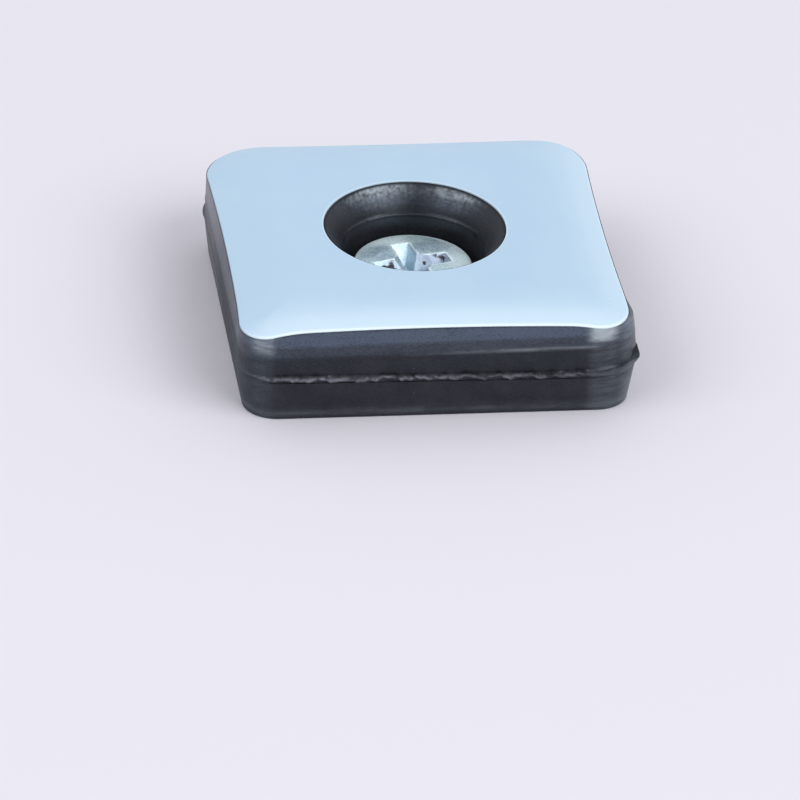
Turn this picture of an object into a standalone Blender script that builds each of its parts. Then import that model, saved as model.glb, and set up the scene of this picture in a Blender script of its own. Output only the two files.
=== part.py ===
"""Square screw-on chair glide, lying with its sliding face up.

A thin PTFE facing is bonded into the top of a moulded rubber base. A pan-head screw and a plain
washer sit down in the funnel-shaped recess in the middle, and the screw's shank runs on through
the base into the end of the chair leg.

Metres, +Z up. The origin is the middle of the base's underside, on the screw's axis.
"""

import math

import bmesh
import bpy
from mathutils import Matrix, Vector

MM = 0.001

# Moulded rubber base
BASE_WIDTH = 25.0 * MM  # square, across the parting line
BASE_HEIGHT = 6.9 * MM  # underside to the flat of the sliding face
CORNER_RADIUS = 2.5 * MM
PARTING_HEIGHT = 2.95 * MM  # where the two halves of the mould met
LOWER_DRAFT = 0.35 * MM  # lean of a side from the parting line to the underside
UPPER_STEP = 0.15 * MM  # how far the upper half's sides are set in from the lower half's
UPPER_DRAFT = 0.03 * MM  # lean of a side from the parting line to the shoulder
SHOULDER_HEIGHT = 1.35 * MM  # slanted band below the facing's edge
SHOULDER_ROUND = 0.35 * MM  # height of the rounding at the top of the shoulder
LIP_WIDTH = 0.04 * MM  # width of that rounding, outside the facing
SEAT_EDGE_RADIUS = 0.13 * MM  # lower outer edge
FLASH_WIDTH = 0.34 * MM  # thin fin of rubber left along the parting line
FLASH_THICKNESS = 0.2 * MM
FLASH_TIP = 0.08 * MM

# PTFE facing
FACING_THICKNESS = 0.6 * MM
FACING_INSET = 0.3 * MM  # from the base's widest line to the facing's edge
FACING_HOLLOW = 0.2 * MM  # how far each side of the facing is drawn in at its middle
FACING_EDGE_RADIUS = 0.14 * MM
ROLL_WIDTH = 4.2 * MM  # strip along each side that rolls down
ROLL_DROP = 0.75 * MM  # height lost at the middle of a side
LIP_STEP = 0.1 * MM  # how far the rubber stops below the facing's top
BOND_LINE = 0.08 * MM  # adhesive round and under the facing

# Recess for the screw
FUNNEL_FLARE = 1.1 * MM  # how much wider the rim is than the ridge, on each side
FUNNEL_DEPTH = 1.8 * MM  # flat of the face down to the ridge
BORE_DRAFT = 0.2 * MM  # widening of the bore from the washer's seat to the ridge
RIDGE_SIZE = 0.1 * MM  # fine raised line where the funnel meets the bore
SEAT_THICKNESS = 1.6 * MM  # rubber under the washer

# Washer
WASHER_THICKNESS = 0.8 * MM
WASHER_EDGE = 0.1 * MM

# Screw
SCREW_DIAMETER = 4.0 * MM  # over the thread
SCREW_LENGTH = 16.0 * MM  # under the head
POINT_LENGTH = 4.0 * MM
HEAD_DIAMETER = 7.5 * MM
HEAD_HEIGHT = 1.75 * MM
HEAD_CROWN = 0.1 * MM  # rise of the domed top
HEAD_EDGE_RADIUS = 0.14 * MM
CROSS_SPAN = 4.95 * MM  # over the wings of the cross recess
CROSS_SLOT = 1.1 * MM  # width of a wing
CROSS_DEPTH = 1.4 * MM
CROSS_FOOT_SPAN = 1.7 * MM  # the same sizes at the bottom
CROSS_FOOT_SLOT = 0.5 * MM
CROSS_FILLET = 0.45 * MM  # slant that joins neighbouring wings
SCREW_TURN = math.radians(13.0)  # how the screw stopped when it was driven home

# Clearances
HEAD_CLEARANCE = 0.65 * MM  # head to bore, all round
WASHER_CLEARANCE = 0.15 * MM  # washer to bore, all round
SHANK_CLEARANCE = 0.2 * MM  # shank to washer and base, all round
REST_GAP = 0.05 * MM  # between a loose piece and what it rests on

# Facets
SIDE_STEPS = 8  # along each straight side
CORNER_STEPS = 8  # round each corner
FACE_STEPS = 8  # from the recess out to the facing's edge
EDGE_STEPS = 3  # round a small edge
TURNED_STEPS = 48  # round the washer and the screw
DOME_STEPS = 4
SHARP_ANGLE = math.radians(35.0)  # edges sharper than this stay crisp
MERGE_DISTANCE = 0.001 * MM
RING_POINTS = 4 * (SIDE_STEPS + CORNER_STEPS)

# Sizes and heights that follow from those above
BASE_HALF = BASE_WIDTH / 2
FACING_HALF = BASE_HALF - FACING_INSET
FACING_CORNER = CORNER_RADIUS - FACING_INSET
BORE_RADIUS = HEAD_DIAMETER / 2 + HEAD_CLEARANCE
RIDGE_RADIUS = BORE_RADIUS + BORE_DRAFT
RIM_RADIUS = RIDGE_RADIUS + FUNNEL_FLARE
FACING_HOLE_RADIUS = RIM_RADIUS + BOND_LINE
SHANK_HOLE_RADIUS = SCREW_DIAMETER / 2 + SHANK_CLEARANCE
WASHER_HEIGHT = SEAT_THICKNESS + REST_GAP
BEARING_HEIGHT = WASHER_HEIGHT + WASHER_THICKNESS + REST_GAP


def square_ring(half_width, corner_radius, hollow=0.0):
    """Points round a rounded square, its sides drawn in by hollow at their middles."""
    points = []
    run = half_width - corner_radius
    for quarter in range(4):
        turn = Matrix.Rotation(quarter * math.pi / 2, 3, "Z")
        for step in range(CORNER_STEPS + 1):
            angle = step / CORNER_STEPS * math.pi / 2
            x = run + corner_radius * math.cos(angle)
            y = run + corner_radius * math.sin(angle)
            points.append(turn @ Vector((x, y, 0.0)))
        for step in range(1, SIDE_STEPS):
            along = 1.0 - 2.0 * step / SIDE_STEPS
            y = half_width - hollow * (1.0 - along**2)
            points.append(turn @ Vector((run * along, y, 0.0)))
    return points


def round_ring(radius):
    """Points round a circle, in step with those of square_ring."""
    points = []
    for index in range(RING_POINTS):
        angle = math.pi / 4 + (index - CORNER_STEPS / 2) * 2 * math.pi / RING_POINTS
        points.append(Vector((radius * math.cos(angle), radius * math.sin(angle), 0.0)))
    return points


def at_height(ring, height):
    """The ring raised to one level."""
    return [Vector((point.x, point.y, height)) for point in ring]


def below_face(ring, depth):
    """The ring laid this far under the sliding face, following its roll."""
    return [Vector((point.x, point.y, face_height(point) - depth)) for point in ring]


def between(inner, outer, share):
    """The ring that lies this share of the way from inner to outer."""
    return [near.lerp(far, share) for near, far in zip(inner, outer)]


def face_height(point):
    """Height of the sliding face: flat in the middle, rolled down along the four sides."""
    drop = 0.0
    for reach in (abs(point.x), abs(point.y)):
        past_flat = max(0.0, reach - (FACING_HALF - ROLL_WIDTH))
        drop += ROLL_DROP * (past_flat / ROLL_WIDTH) ** 2
    return BASE_HEIGHT - drop


def base_ring(inset, height):
    """Outline of the base, this far in from its widest line."""
    return at_height(square_ring(BASE_HALF - inset, CORNER_RADIUS - inset), height)


def facing_ring(inset, depth):
    """Outline of the facing, this far in from its edge and under its top."""
    ring = square_ring(FACING_HALF - inset, FACING_CORNER - inset, FACING_HOLLOW)
    return below_face(ring, depth)


def face_rings(hole_radius, edge_inset, depth):
    """Rings from the facing's edge in to the hole, all at one depth under the face."""
    outer = facing_ring(edge_inset, depth)
    inner = round_ring(hole_radius)
    shares = [1.0 - step / FACE_STEPS for step in range(FACE_STEPS + 1)]
    return [below_face(between(inner, outer, share), depth) for share in shares]


def outer_wall_rings():
    """Sides of the base, from the underside up to the lip round the facing."""
    rings = []
    for step in range(EDGE_STEPS + 1):
        angle = step / EDGE_STEPS * math.pi / 2
        inset = LOWER_DRAFT + SEAT_EDGE_RADIUS * (1.0 - math.sin(angle))
        rings.append(base_ring(inset, SEAT_EDGE_RADIUS * (1.0 - math.cos(angle))))
    rings.append(base_ring(0.0, PARTING_HEIGHT - FLASH_THICKNESS / 2))
    rings.append(base_ring(-FLASH_WIDTH, PARTING_HEIGHT - FLASH_TIP / 2))
    rings.append(base_ring(-FLASH_WIDTH, PARTING_HEIGHT + FLASH_TIP / 2))
    rings.append(base_ring(UPPER_STEP, PARTING_HEIGHT + FLASH_THICKNESS / 2))
    fold_height = BASE_HEIGHT - ROLL_DROP - SHOULDER_HEIGHT
    rings.append(base_ring(UPPER_STEP + UPPER_DRAFT, fold_height))
    for step in range(EDGE_STEPS):
        angle = step / EDGE_STEPS * math.pi / 2
        out = BOND_LINE + LIP_WIDTH * math.cos(angle)
        rings.append(facing_ring(-out, LIP_STEP + SHOULDER_ROUND * (1.0 - math.sin(angle))))
    rings.append(facing_ring(-BOND_LINE, LIP_STEP))
    return rings


def recess_rings():
    """Funnel, ridge, bore and washer seat, from the rim down to the shank hole's lower end."""
    ridge_height = BASE_HEIGHT - FUNNEL_DEPTH
    rings = [
        at_height(round_ring(RIM_RADIUS), BASE_HEIGHT - LIP_STEP),
        at_height(round_ring(RIDGE_RADIUS), ridge_height + RIDGE_SIZE),
        at_height(round_ring(RIDGE_RADIUS - RIDGE_SIZE), ridge_height),
        at_height(round_ring(RIDGE_RADIUS), ridge_height - RIDGE_SIZE),
        at_height(round_ring(BORE_RADIUS), SEAT_THICKNESS),
        at_height(round_ring(SHANK_HOLE_RADIUS), SEAT_THICKNESS),
        at_height(round_ring(SHANK_HOLE_RADIUS), 0.0),
    ]
    return rings


def add_object(name, mesh, material, height=0.0, parent=None):
    """Puts a finished mesh in the scene, on the screw's axis."""
    piece = bpy.data.objects.new(name, mesh)
    piece.data.materials.append(material)
    piece.location.z = height
    piece.parent = parent
    bpy.context.scene.collection.objects.link(piece)
    return piece


def lofted(name, rings):
    """Closed tube-like mesh skinned over the rings, the last one joined back to the first."""
    work = bmesh.new()
    loops = [[work.verts.new(point) for point in ring] for ring in rings]
    for lower, upper in zip(loops, loops[1:] + loops[:1]):
        for index in range(RING_POINTS):
            after = (index + 1) % RING_POINTS
            work.faces.new((lower[index], lower[after], upper[after], upper[index]))
    bmesh.ops.recalc_face_normals(work, faces=work.faces)
    mesh = bpy.data.meshes.new(name)
    work.to_mesh(mesh)
    work.free()
    mesh.shade_smooth()
    mesh.set_sharp_from_angle(angle=SHARP_ANGLE)
    return mesh


def turned(name, profile, closed, material, height, parent):
    """Piece turned about Z from (radius, height) points that run down its outer side."""
    mesh = bpy.data.meshes.new(name)
    edges = [(index, index + 1) for index in range(len(profile) - 1)]
    if closed:
        edges.append((len(profile) - 1, 0))
    mesh.from_pydata([(radius, 0.0, level) for radius, level in profile], edges, [])
    piece = add_object(name, mesh, material, height, parent)
    turn = piece.modifiers.new("Turn", "SCREW")
    turn.axis = "Z"
    turn.steps = TURNED_STEPS
    turn.render_steps = TURNED_STEPS
    turn.use_merge_vertices = True
    turn.merge_threshold = MERGE_DISTANCE
    turn.use_smooth_shade = True
    return piece


def finish(name, colour, roughness, metallic=0.0):
    """Plain material of one colour."""
    material = bpy.data.materials.new(name)
    material.use_nodes = True
    shader = material.node_tree.nodes["Principled BSDF"]
    shader.inputs["Base Color"].default_value = (*colour, 1.0)
    shader.inputs["Roughness"].default_value = roughness
    shader.inputs["Metallic"].default_value = metallic
    return material


def make_base(material):
    """Rubber base: drafted sides, flash, pocket for the facing, and the stepped recess."""
    pocket_depth = FACING_THICKNESS + BOND_LINE
    pocket = face_rings(RIM_RADIUS, -BOND_LINE, pocket_depth)
    rings = outer_wall_rings() + pocket + recess_rings()
    return add_object("rubber_base", lofted("rubber_base", rings), material)


def make_facing(material):
    """PTFE facing: an even sheet with rolled-down sides and a round hole."""
    edge = []
    for step in range(EDGE_STEPS):
        angle = step / EDGE_STEPS * math.pi / 2
        inset = FACING_EDGE_RADIUS * (1.0 - math.cos(angle))
        edge.append(facing_ring(inset, FACING_EDGE_RADIUS * (1.0 - math.sin(angle))))
    top = face_rings(FACING_HOLE_RADIUS, FACING_EDGE_RADIUS, 0.0)
    under = face_rings(FACING_HOLE_RADIUS, 0.0, FACING_THICKNESS)
    rings = edge + top + under[::-1]
    return add_object("ptfe_facing", lofted("ptfe_facing", rings), material)


def make_washer(material, axis):
    """Plain steel washer with broken edges, lying in the bottom of the bore."""
    outer = BORE_RADIUS - WASHER_CLEARANCE
    inner = SHANK_HOLE_RADIUS
    profile = [
        (outer - WASHER_EDGE, WASHER_THICKNESS),
        (outer, WASHER_THICKNESS - WASHER_EDGE),
        (outer, WASHER_EDGE),
        (outer - WASHER_EDGE, 0.0),
        (inner, 0.0),
        (inner, WASHER_THICKNESS),
    ]
    return turned("washer", profile, True, material, WASHER_HEIGHT, axis)


def head_profile():
    """Pan head from the middle of its crown out and down to the bearing face."""
    radius = HEAD_DIAMETER / 2
    flat = radius - HEAD_EDGE_RADIUS
    shoulder = HEAD_HEIGHT - HEAD_CROWN
    profile = []
    for step in range(DOME_STEPS):
        reach = flat * step / DOME_STEPS
        profile.append((reach, HEAD_HEIGHT - HEAD_CROWN * (reach / flat) ** 2))
    for step in range(EDGE_STEPS + 1):
        angle = step / EDGE_STEPS * math.pi / 2
        drop = HEAD_EDGE_RADIUS * (1.0 - math.cos(angle))
        profile.append((flat + HEAD_EDGE_RADIUS * math.sin(angle), shoulder - drop))
    profile.append((radius, 0.0))
    return profile


def make_cross_cutter(parent):
    """Tapered four-winged plug that leaves the cross recess in the head."""
    overshoot = HEAD_CROWN + CROSS_SLOT
    work = bmesh.new()
    loops = []
    for depth in (-overshoot, CROSS_DEPTH):
        share = depth / CROSS_DEPTH
        wing = (CROSS_SPAN + (CROSS_FOOT_SPAN - CROSS_SPAN) * share) / 2
        slot = (CROSS_SLOT + (CROSS_FOOT_SLOT - CROSS_SLOT) * share) / 2
        core = slot + CROSS_FILLET
        loop = []
        for quarter in range(4):
            turn = Matrix.Rotation(quarter * math.pi / 2, 3, "Z")
            for x, y in ((core, -slot), (wing, -slot), (wing, slot), (core, slot)):
                loop.append(work.verts.new(turn @ Vector((x, y, HEAD_HEIGHT - depth))))
        loops.append(loop)
        work.faces.new(loop)
    upper, lower = loops
    for index in range(len(upper)):
        after = (index + 1) % len(upper)
        work.faces.new((upper[index], upper[after], lower[after], lower[index]))
    bmesh.ops.recalc_face_normals(work, faces=work.faces)
    mesh = bpy.data.meshes.new("cross_cutter")
    work.to_mesh(mesh)
    work.free()
    cutter = bpy.data.objects.new("cross_cutter", mesh)
    cutter.parent = parent
    cutter.hide_render = True
    cutter.display_type = "WIRE"
    bpy.context.scene.collection.objects.link(cutter)
    return cutter


def make_screw(material, axis):
    """Pan-head screw: domed head with a cross recess, and a shank with a cone point."""
    shank = SCREW_DIAMETER / 2
    profile = head_profile()
    profile.append((shank, 0.0))
    profile.append((shank, POINT_LENGTH - SCREW_LENGTH))
    profile.append((0.0, -SCREW_LENGTH))
    screw = turned("screw", profile, False, material, BEARING_HEIGHT, axis)
    screw.rotation_euler.z = SCREW_TURN
    cut = screw.modifiers.new("Cross recess", "BOOLEAN")
    cut.operation = "DIFFERENCE"
    cut.object = make_cross_cutter(screw)
    return screw


def main():
    """Clears the scene and builds the four pieces of the glide."""
    for existing in list(bpy.data.objects):
        bpy.data.objects.remove(existing)
    axis = bpy.data.objects.new("screw_axis", None)
    bpy.context.scene.collection.objects.link(axis)
    make_base(finish("black_rubber", (0.028, 0.029, 0.036), 0.5))
    make_facing(finish("blue_ptfe", (0.47, 0.64, 0.82), 0.42))
    zinc = finish("zinc_plated_steel", (0.68, 0.69, 0.71), 0.28, 1.0)
    make_washer(zinc, axis)
    make_screw(zinc, axis)


main()
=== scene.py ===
"""Looks of a square screw-on chair leg glide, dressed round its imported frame.

Sizes in the classes are millimetres. The frame and every finished mesh are in metres, +Z up, with
the origin in the middle of the base's underside, on the screw's axis.
"""

import logging
import math
from collections.abc import Callable, Mapping, Sequence
from dataclasses import dataclass
from enum import Enum
from typing import Any, Optional, Union

import bmesh
import bpy
import numpy as np
from mathutils import Matrix, Vector


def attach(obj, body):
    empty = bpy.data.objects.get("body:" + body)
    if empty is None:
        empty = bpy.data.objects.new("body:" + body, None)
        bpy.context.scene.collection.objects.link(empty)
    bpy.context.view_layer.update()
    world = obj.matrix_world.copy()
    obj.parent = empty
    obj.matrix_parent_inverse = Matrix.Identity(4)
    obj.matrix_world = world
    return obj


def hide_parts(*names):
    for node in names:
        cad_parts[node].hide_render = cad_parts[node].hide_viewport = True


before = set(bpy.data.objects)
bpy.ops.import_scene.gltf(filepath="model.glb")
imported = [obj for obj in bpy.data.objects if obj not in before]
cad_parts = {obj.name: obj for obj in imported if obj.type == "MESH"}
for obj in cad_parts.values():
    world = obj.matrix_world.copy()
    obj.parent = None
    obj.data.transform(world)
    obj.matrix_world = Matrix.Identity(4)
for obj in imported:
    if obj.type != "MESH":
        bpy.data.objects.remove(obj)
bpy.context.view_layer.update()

LOG = logging.getLogger("glide")
MM = 0.001
SAME_POINT = 1e-4

Triple = tuple[float, float, float]
Colour = Triple
Quad = tuple[float, float, float, float]
Profile = list[tuple[float, float]]
Ring = np.ndarray
Place = Union[float, np.ndarray]


class Body(Enum):
    """Bodies of the frame that pieces ride on."""

    GLIDE = "glide"
    WASHER = "washer"
    SCREW = "screw"


class Slot(Enum):
    """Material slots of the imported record."""

    RUBBER = "rubber"
    FACING = "facing"
    ZINC = "zinc"


class Mask(Enum):
    """Marks that the meshes carry for their finishes, from 0 to 1."""

    # Bluish bloom on the rubber with painted sheen on its shoulder, corners and funnel; tarnish on
    # the zinc.
    BLOOM = "bloom_and_painted_sheen"
    # Torn flash on the rubber with a painted highlight on the fin's top; grime and painted shade in
    # the screw's cross recess.
    TORN = "torn"
    # Painted sheen on the rubber.
    SHEEN = "sheen"
    GLOSS = "gloss"
    # Painted highlight on the facing's edges over its paler cut edge; painted highlights and wear
    # on the screw's head.
    EDGE = "edge"
    MATT = "matt"


def math_node(operation: str, swapped: bool = False) -> Callable[..., "Term"]:
    """Method that puts a Math node on a Term and the values that it is given.

    Args:
        operation: Blender's name for the node's operation.
        swapped: whether the values come before the Term.

    Returns:
        The method, which returns the node's output.
    """

    def method(term: "Term", *values: "Value") -> "Term":
        """Adds the node."""
        ordered = (*values, term) if swapped else (term, *values)
        return term.sheet.add("ShaderNodeMath", {"operation": operation}, dict(enumerate(ordered)))

    return method


class Term:
    """Output of a node that takes part in Python arithmetic."""

    def __init__(self, sheet: "Sheet", socket: Optional[bpy.types.NodeSocket]) -> None:
        """Keeps the socket and the sheet that its node lies on."""
        self.sheet = sheet
        self.socket = socket

    __add__ = __radd__ = math_node("ADD")
    __sub__ = math_node("SUBTRACT")
    __rsub__ = math_node("SUBTRACT", swapped=True)
    __mul__ = __rmul__ = math_node("MULTIPLY")
    __truediv__ = math_node("DIVIDE")
    __abs__ = math_node("ABSOLUTE")
    at_least = math_node("MAXIMUM")
    at_most = math_node("MINIMUM")
    fraction = math_node("FRACT")
    sine = math_node("SINE")
    cosine = math_node("COSINE")

    def other(self, name: str) -> "Term":
        """Another output of the same node."""
        return Term(self.sheet, self.socket.node.outputs[name])

    def rise(self, low: float, high: float) -> "Term":
        """Smooth step from 0 at low to 1 at high, which may lie the other way round."""
        return self.sheet.add(
            "ShaderNodeMapRange",
            {"interpolation_type": "SMOOTHSTEP"},
            {"Value": self, "From Min": low, "From Max": high},
        )


Value = Union[Term, float]


class Sheet:
    """Node tree that nodes are laid on."""

    def __init__(self, tree: bpy.types.NodeTree) -> None:
        """Starts on an existing tree, which it clears."""
        self.tree = tree
        tree.nodes.clear()

    def add(
        self,
        kind: str,
        settings: Optional[Mapping[str, Any]] = None,
        sockets: Optional[Mapping[Union[str, int], Any]] = None,
        out: Union[str, int] = 0,
    ) -> Term:
        """Adds one node.

        Args:
            kind: Blender's name for the node's type.
            settings: the node's own options, set before its sockets.
            sockets: a value or a Term for each input, by name or number.
            out: name or number of the output to return.

        Returns:
            The chosen output, which an output node doesn't have.
        """
        node = self.tree.nodes.new(kind)
        for name, value in (settings or {}).items():
            setattr(node, name, value)
        for name, value in (sockets or {}).items():
            self.feed(node.inputs[name], value)
        return Term(self, node.outputs[out] if node.outputs else None)

    def feed(self, socket: bpy.types.NodeSocket, value: Any) -> None:
        """Links a Term to an input, or sets its value."""
        if isinstance(value, Term):
            self.tree.links.new(value.socket, socket)
        elif socket.type == "RGBA":
            socket.default_value = (*value, 1.0)
        else:
            socket.default_value = value

    def mix(self, share: Value, first: Any, second: Any) -> Term:
        """Colour between two others."""
        return self.add(
            "ShaderNodeMix", {"data_type": "RGBA"}, {0: share, 6: first, 7: second}, out=2
        )


class Paint(Sheet):
    """Node tree of a material, with what its finishes share."""

    def __init__(self, name: str) -> None:
        """Starts an empty material."""
        self.material = bpy.data.materials.new(name)
        self.material.use_nodes = True
        super().__init__(self.material.node_tree)
        self.place = self.add(
            "ShaderNodeVectorMath",
            {"operation": "SCALE"},
            {0: self.add("ShaderNodeTexCoord", out="Object"), "Scale": 1.0 / MM},
        )

    def mask(self, mask: Mask) -> Term:
        """A mark that the mesh carries."""
        return self.add("ShaderNodeAttribute", {"attribute_name": mask.value}, out="Fac")

    def stretched(self, scale: Triple) -> Term:
        """The place in millimetres, drawn out along some axes."""
        return self.add(
            "ShaderNodeVectorMath", {"operation": "MULTIPLY"}, {0: self.place, 1: scale}
        )

    def noise(self, scale: float, detail: float = 2.0, place: Optional[Term] = None) -> Term:
        """Cloudy values about 0.5.

        Args:
            scale: clouds for each millimetre.
            detail: how many finer layers are added.
            place: where they are read, the place in millimetres by default.

        Returns:
            The noise value.
        """
        return self.add(
            "ShaderNodeTexNoise",
            None,
            {"Vector": place or self.place, "Scale": scale, "Detail": detail},
        )

    def grains(self, scale: float) -> Term:
        """Distance to the nearest of scattered points, about so many for each millimetre."""
        return self.add("ShaderNodeTexVoronoi", None, {"Vector": self.place, "Scale": scale})

    def bump(self, height: Term, depth: float, strength: float) -> Term:
        """Normal for a surface that a height from 0 to 1 raises by depth, in millimetres."""
        return self.add(
            "ShaderNodeBump",
            None,
            {"Height": height, "Distance": depth * MM, "Strength": strength},
        )

    def surface(self, shader: Term) -> bpy.types.Material:
        """Ends the material with its surface shader."""
        self.add("ShaderNodeOutputMaterial", None, {"Surface": shader})
        return self.material

    def principled(self, sockets: Mapping[str, Any]) -> Term:
        """The main surface shader."""
        return self.add("ShaderNodeBsdfPrincipled", None, sockets)

    def plain(self, sockets: Mapping[str, Any]) -> bpy.types.Material:
        """Ends the material with the main surface shader alone."""
        return self.surface(self.principled(sockets))


@dataclass(frozen=True)
class RubberFinish:
    """Black moulded rubber: bluish bloom, painted sheen, dust, and torn flash with a painted
    highlight.
    """

    black: Colour = (0.0068, 0.0065, 0.0080)
    grey: Colour = (0.0163, 0.0157, 0.0190)
    # Bluish bloom of the rubber; the same colour paints sheen over the shoulder, at the front
    # corners and in the funnel.
    bloom_and_painted_sheen: Colour = (0.060, 0.082, 0.122)
    # Pale colour of painted sheen.
    sheen: Colour = (0.36, 0.41, 0.44)
    # Pale torn rubber, also a painted highlight on the fin's top.
    torn: Colour = (0.185, 0.19, 0.225)
    dust: Colour = (0.12, 0.13, 0.14)
    glint: Colour = (0.76, 0.87, 1.0)

    def make(self) -> bpy.types.Material:
        """Builds the material."""
        paint = Paint("moulded_rubber")
        cloud = paint.noise(0.55, detail=3.0)
        mottle = paint.noise(6.0, 3.0, paint.stretched((1.0, 1.0, 1.6)))
        streak = paint.noise(1.0, 3.0, paint.stretched((0.7, 0.7, 4.0)))
        grain = paint.noise(14.0)
        # Bloom and painted sheen share this mask.
        bloom_and_painted_sheen = paint.mask(Mask.BLOOM) * (0.2 + 0.9 * streak + 0.7 * mottle.rise(0.25, 0.75))
        # Painted sheen, streaked.
        sheen = paint.mask(Mask.SHEEN) * (0.35 + 0.9 * streak.rise(0.3, 0.7) + 0.4 * mottle)
        chips = paint.noise(2.2, 3.0, paint.stretched((1.0, 1.0, 0.3)))
        # Torn flash with a painted highlight.
        torn = paint.mask(Mask.TORN) * chips.rise(0.26, 0.66)
        drifts = paint.noise(0.7).rise(0.52, 0.62)
        dust = paint.noise(6.0, detail=3.0).rise(0.68, 0.75) * drifts
        colour = paint.mix((cloud * 0.5 + mottle * 0.5).rise(0.38, 0.64), self.black, self.grey)
        colour = paint.mix(bloom_and_painted_sheen, colour, self.bloom_and_painted_sheen)
        colour = paint.mix(sheen, colour, self.sheen)
        colour = paint.mix(dust * 0.6, colour, self.dust)
        colour = paint.mix(torn, colour, self.torn)
        rough = 0.2 + 0.12 * cloud + 0.14 * streak + 0.12 * mottle
        relief = grain * 0.3 + mottle * 0.4 + streak * 0.3
        return paint.plain(
            {
                "Base Color": colour,
                "Roughness": rough + 0.2 * (torn + paint.mask(Mask.MATT)),
                "Specular IOR Level": 0.4,
                "Specular Tint": self.glint,
                "Coat Weight": paint.mask(Mask.GLOSS) * (0.3 + 0.5 * streak + 0.5 * mottle),
                "Coat Roughness": 0.18,
                "Normal": paint.bump(relief, depth=0.02, strength=0.5),
            }
        )


@dataclass(frozen=True)
class FacingFinish:
    """Pale blue PTFE: smooth and waxy, with a painted highlight along its edges and round its hole,
    over the paler cut edge.
    """

    blue: Colour = (0.424, 0.588, 0.742)
    cool: Colour = (0.408, 0.573, 0.730)
    # Paler cut edge with a painted highlight, laid by the edge mark.
    edge: Colour = (0.77, 0.90, 0.99)
    speck: Colour = (0.72, 0.82, 0.90)

    def make(self) -> bpy.types.Material:
        """Builds the material."""
        paint = Paint("blue_ptfe")
        cloud = paint.noise(0.22, detail=3.0)
        wipe = paint.noise(0.8, 4.0, paint.stretched((0.3, 1.6, 1.0)))
        grain = paint.noise(9.0)
        drifts = paint.noise(0.5).rise(0.55, 0.62)
        speck = paint.grains(0.8).rise(0.07, 0.03) * drifts
        colour = paint.mix(cloud.rise(0.3, 0.7), self.cool, self.blue)
        colour = paint.mix(speck * 0.5, colour, self.speck)
        colour = paint.mix(paint.mask(Mask.EDGE), colour, self.edge)
        return paint.plain(
            {
                "Base Color": colour,
                "Roughness": 0.34 + 0.14 * wipe + 0.06 * grain,
                "IOR": 1.38,
                "Normal": paint.bump(grain * 0.4 + wipe * 0.6, depth=0.008, strength=0.3),
            }
        )


@dataclass(frozen=True)
class ZincFinish:
    """Dull zinc plate, finely pitted, with a faint blue passivation, wear and painted highlights,
    and grime with painted shade.
    """

    bright: Colour = (0.71, 0.91, 0.98)
    dull: Colour = (0.33, 0.47, 0.56)
    tint: Colour = (0.60, 0.66, 0.94)
    # Pale zinc for wear and painted highlights.
    wear_and_highlight: Colour = (0.80, 0.96, 1.0)
    tarnish: Colour = (0.36, 0.42, 0.56)
    # Dark grime and painted shade in the cross recess.
    grime_and_shade: Colour = (0.026, 0.031, 0.043)

    def make(self) -> bpy.types.Material:
        """Builds the material."""
        paint = Paint("zinc_plate")
        cloud = paint.noise(0.6, detail=3.0)
        pits = paint.noise(7.0, detail=4.0)
        # Wear and painted highlight, laid by the edge mark.
        wear_and_highlight = paint.mask(Mask.EDGE) * (0.4 + pits)
        tarnish = paint.mask(Mask.BLOOM) * (0.5 + 0.6 * cloud)
        # Grime and painted shade, darker deeper in the recess.
        grime_and_shade = (paint.mask(Mask.TORN) + paint.noise(1.9) - 0.5).rise(0.5, 0.62)
        colour = paint.mix((cloud * 0.6 + pits * 0.4).rise(0.34, 0.66), self.dull, self.bright)
        tinted = paint.noise(2.4).rise(0.54, 0.72) * 0.5
        colour = paint.mix(tinted, colour, self.tint)
        colour = paint.mix(wear_and_highlight, colour, self.wear_and_highlight)
        colour = paint.mix(tarnish, colour, self.tarnish)
        colour = paint.mix(grime_and_shade, colour, self.grime_and_shade)
        return paint.plain(
            {
                "Base Color": colour,
                "Metallic": 0.85 - 0.6 * grime_and_shade - 0.3 * wear_and_highlight,
                "Roughness": 0.34 + 0.16 * cloud + 0.1 * pits,
                "Normal": paint.bump(pits * 0.7 + cloud * 0.3, depth=0.02, strength=0.35),
            }
        )


@dataclass(frozen=True)
class FloorFinish:
    """Plain pale paper that shows from above only, and fades into the surroundings."""

    pale: Colour = (0.722, 0.710, 0.776)
    fade: tuple[float, float] = (300.0, 1200.0)

    def make(self) -> bpy.types.Material:
        """Builds the material."""
        paint = Paint("pale_paper")
        paper = paint.principled(
            {"Base Color": self.pale, "Roughness": 0.9, "Specular IOR Level": 0.1}
        )
        below = paint.add("ShaderNodeNewGeometry", out="Backfacing")
        reach = paint.add(
            "ShaderNodeVectorMath", {"operation": "LENGTH"}, {0: paint.place}, out="Value"
        )
        gone = reach.rise(*self.fade).at_least(below)
        clear = paint.add("ShaderNodeBsdfTransparent")
        return paint.surface(paint.add("ShaderNodeMixShader", None, {0: gone, 1: paper, 2: clear}))


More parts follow.
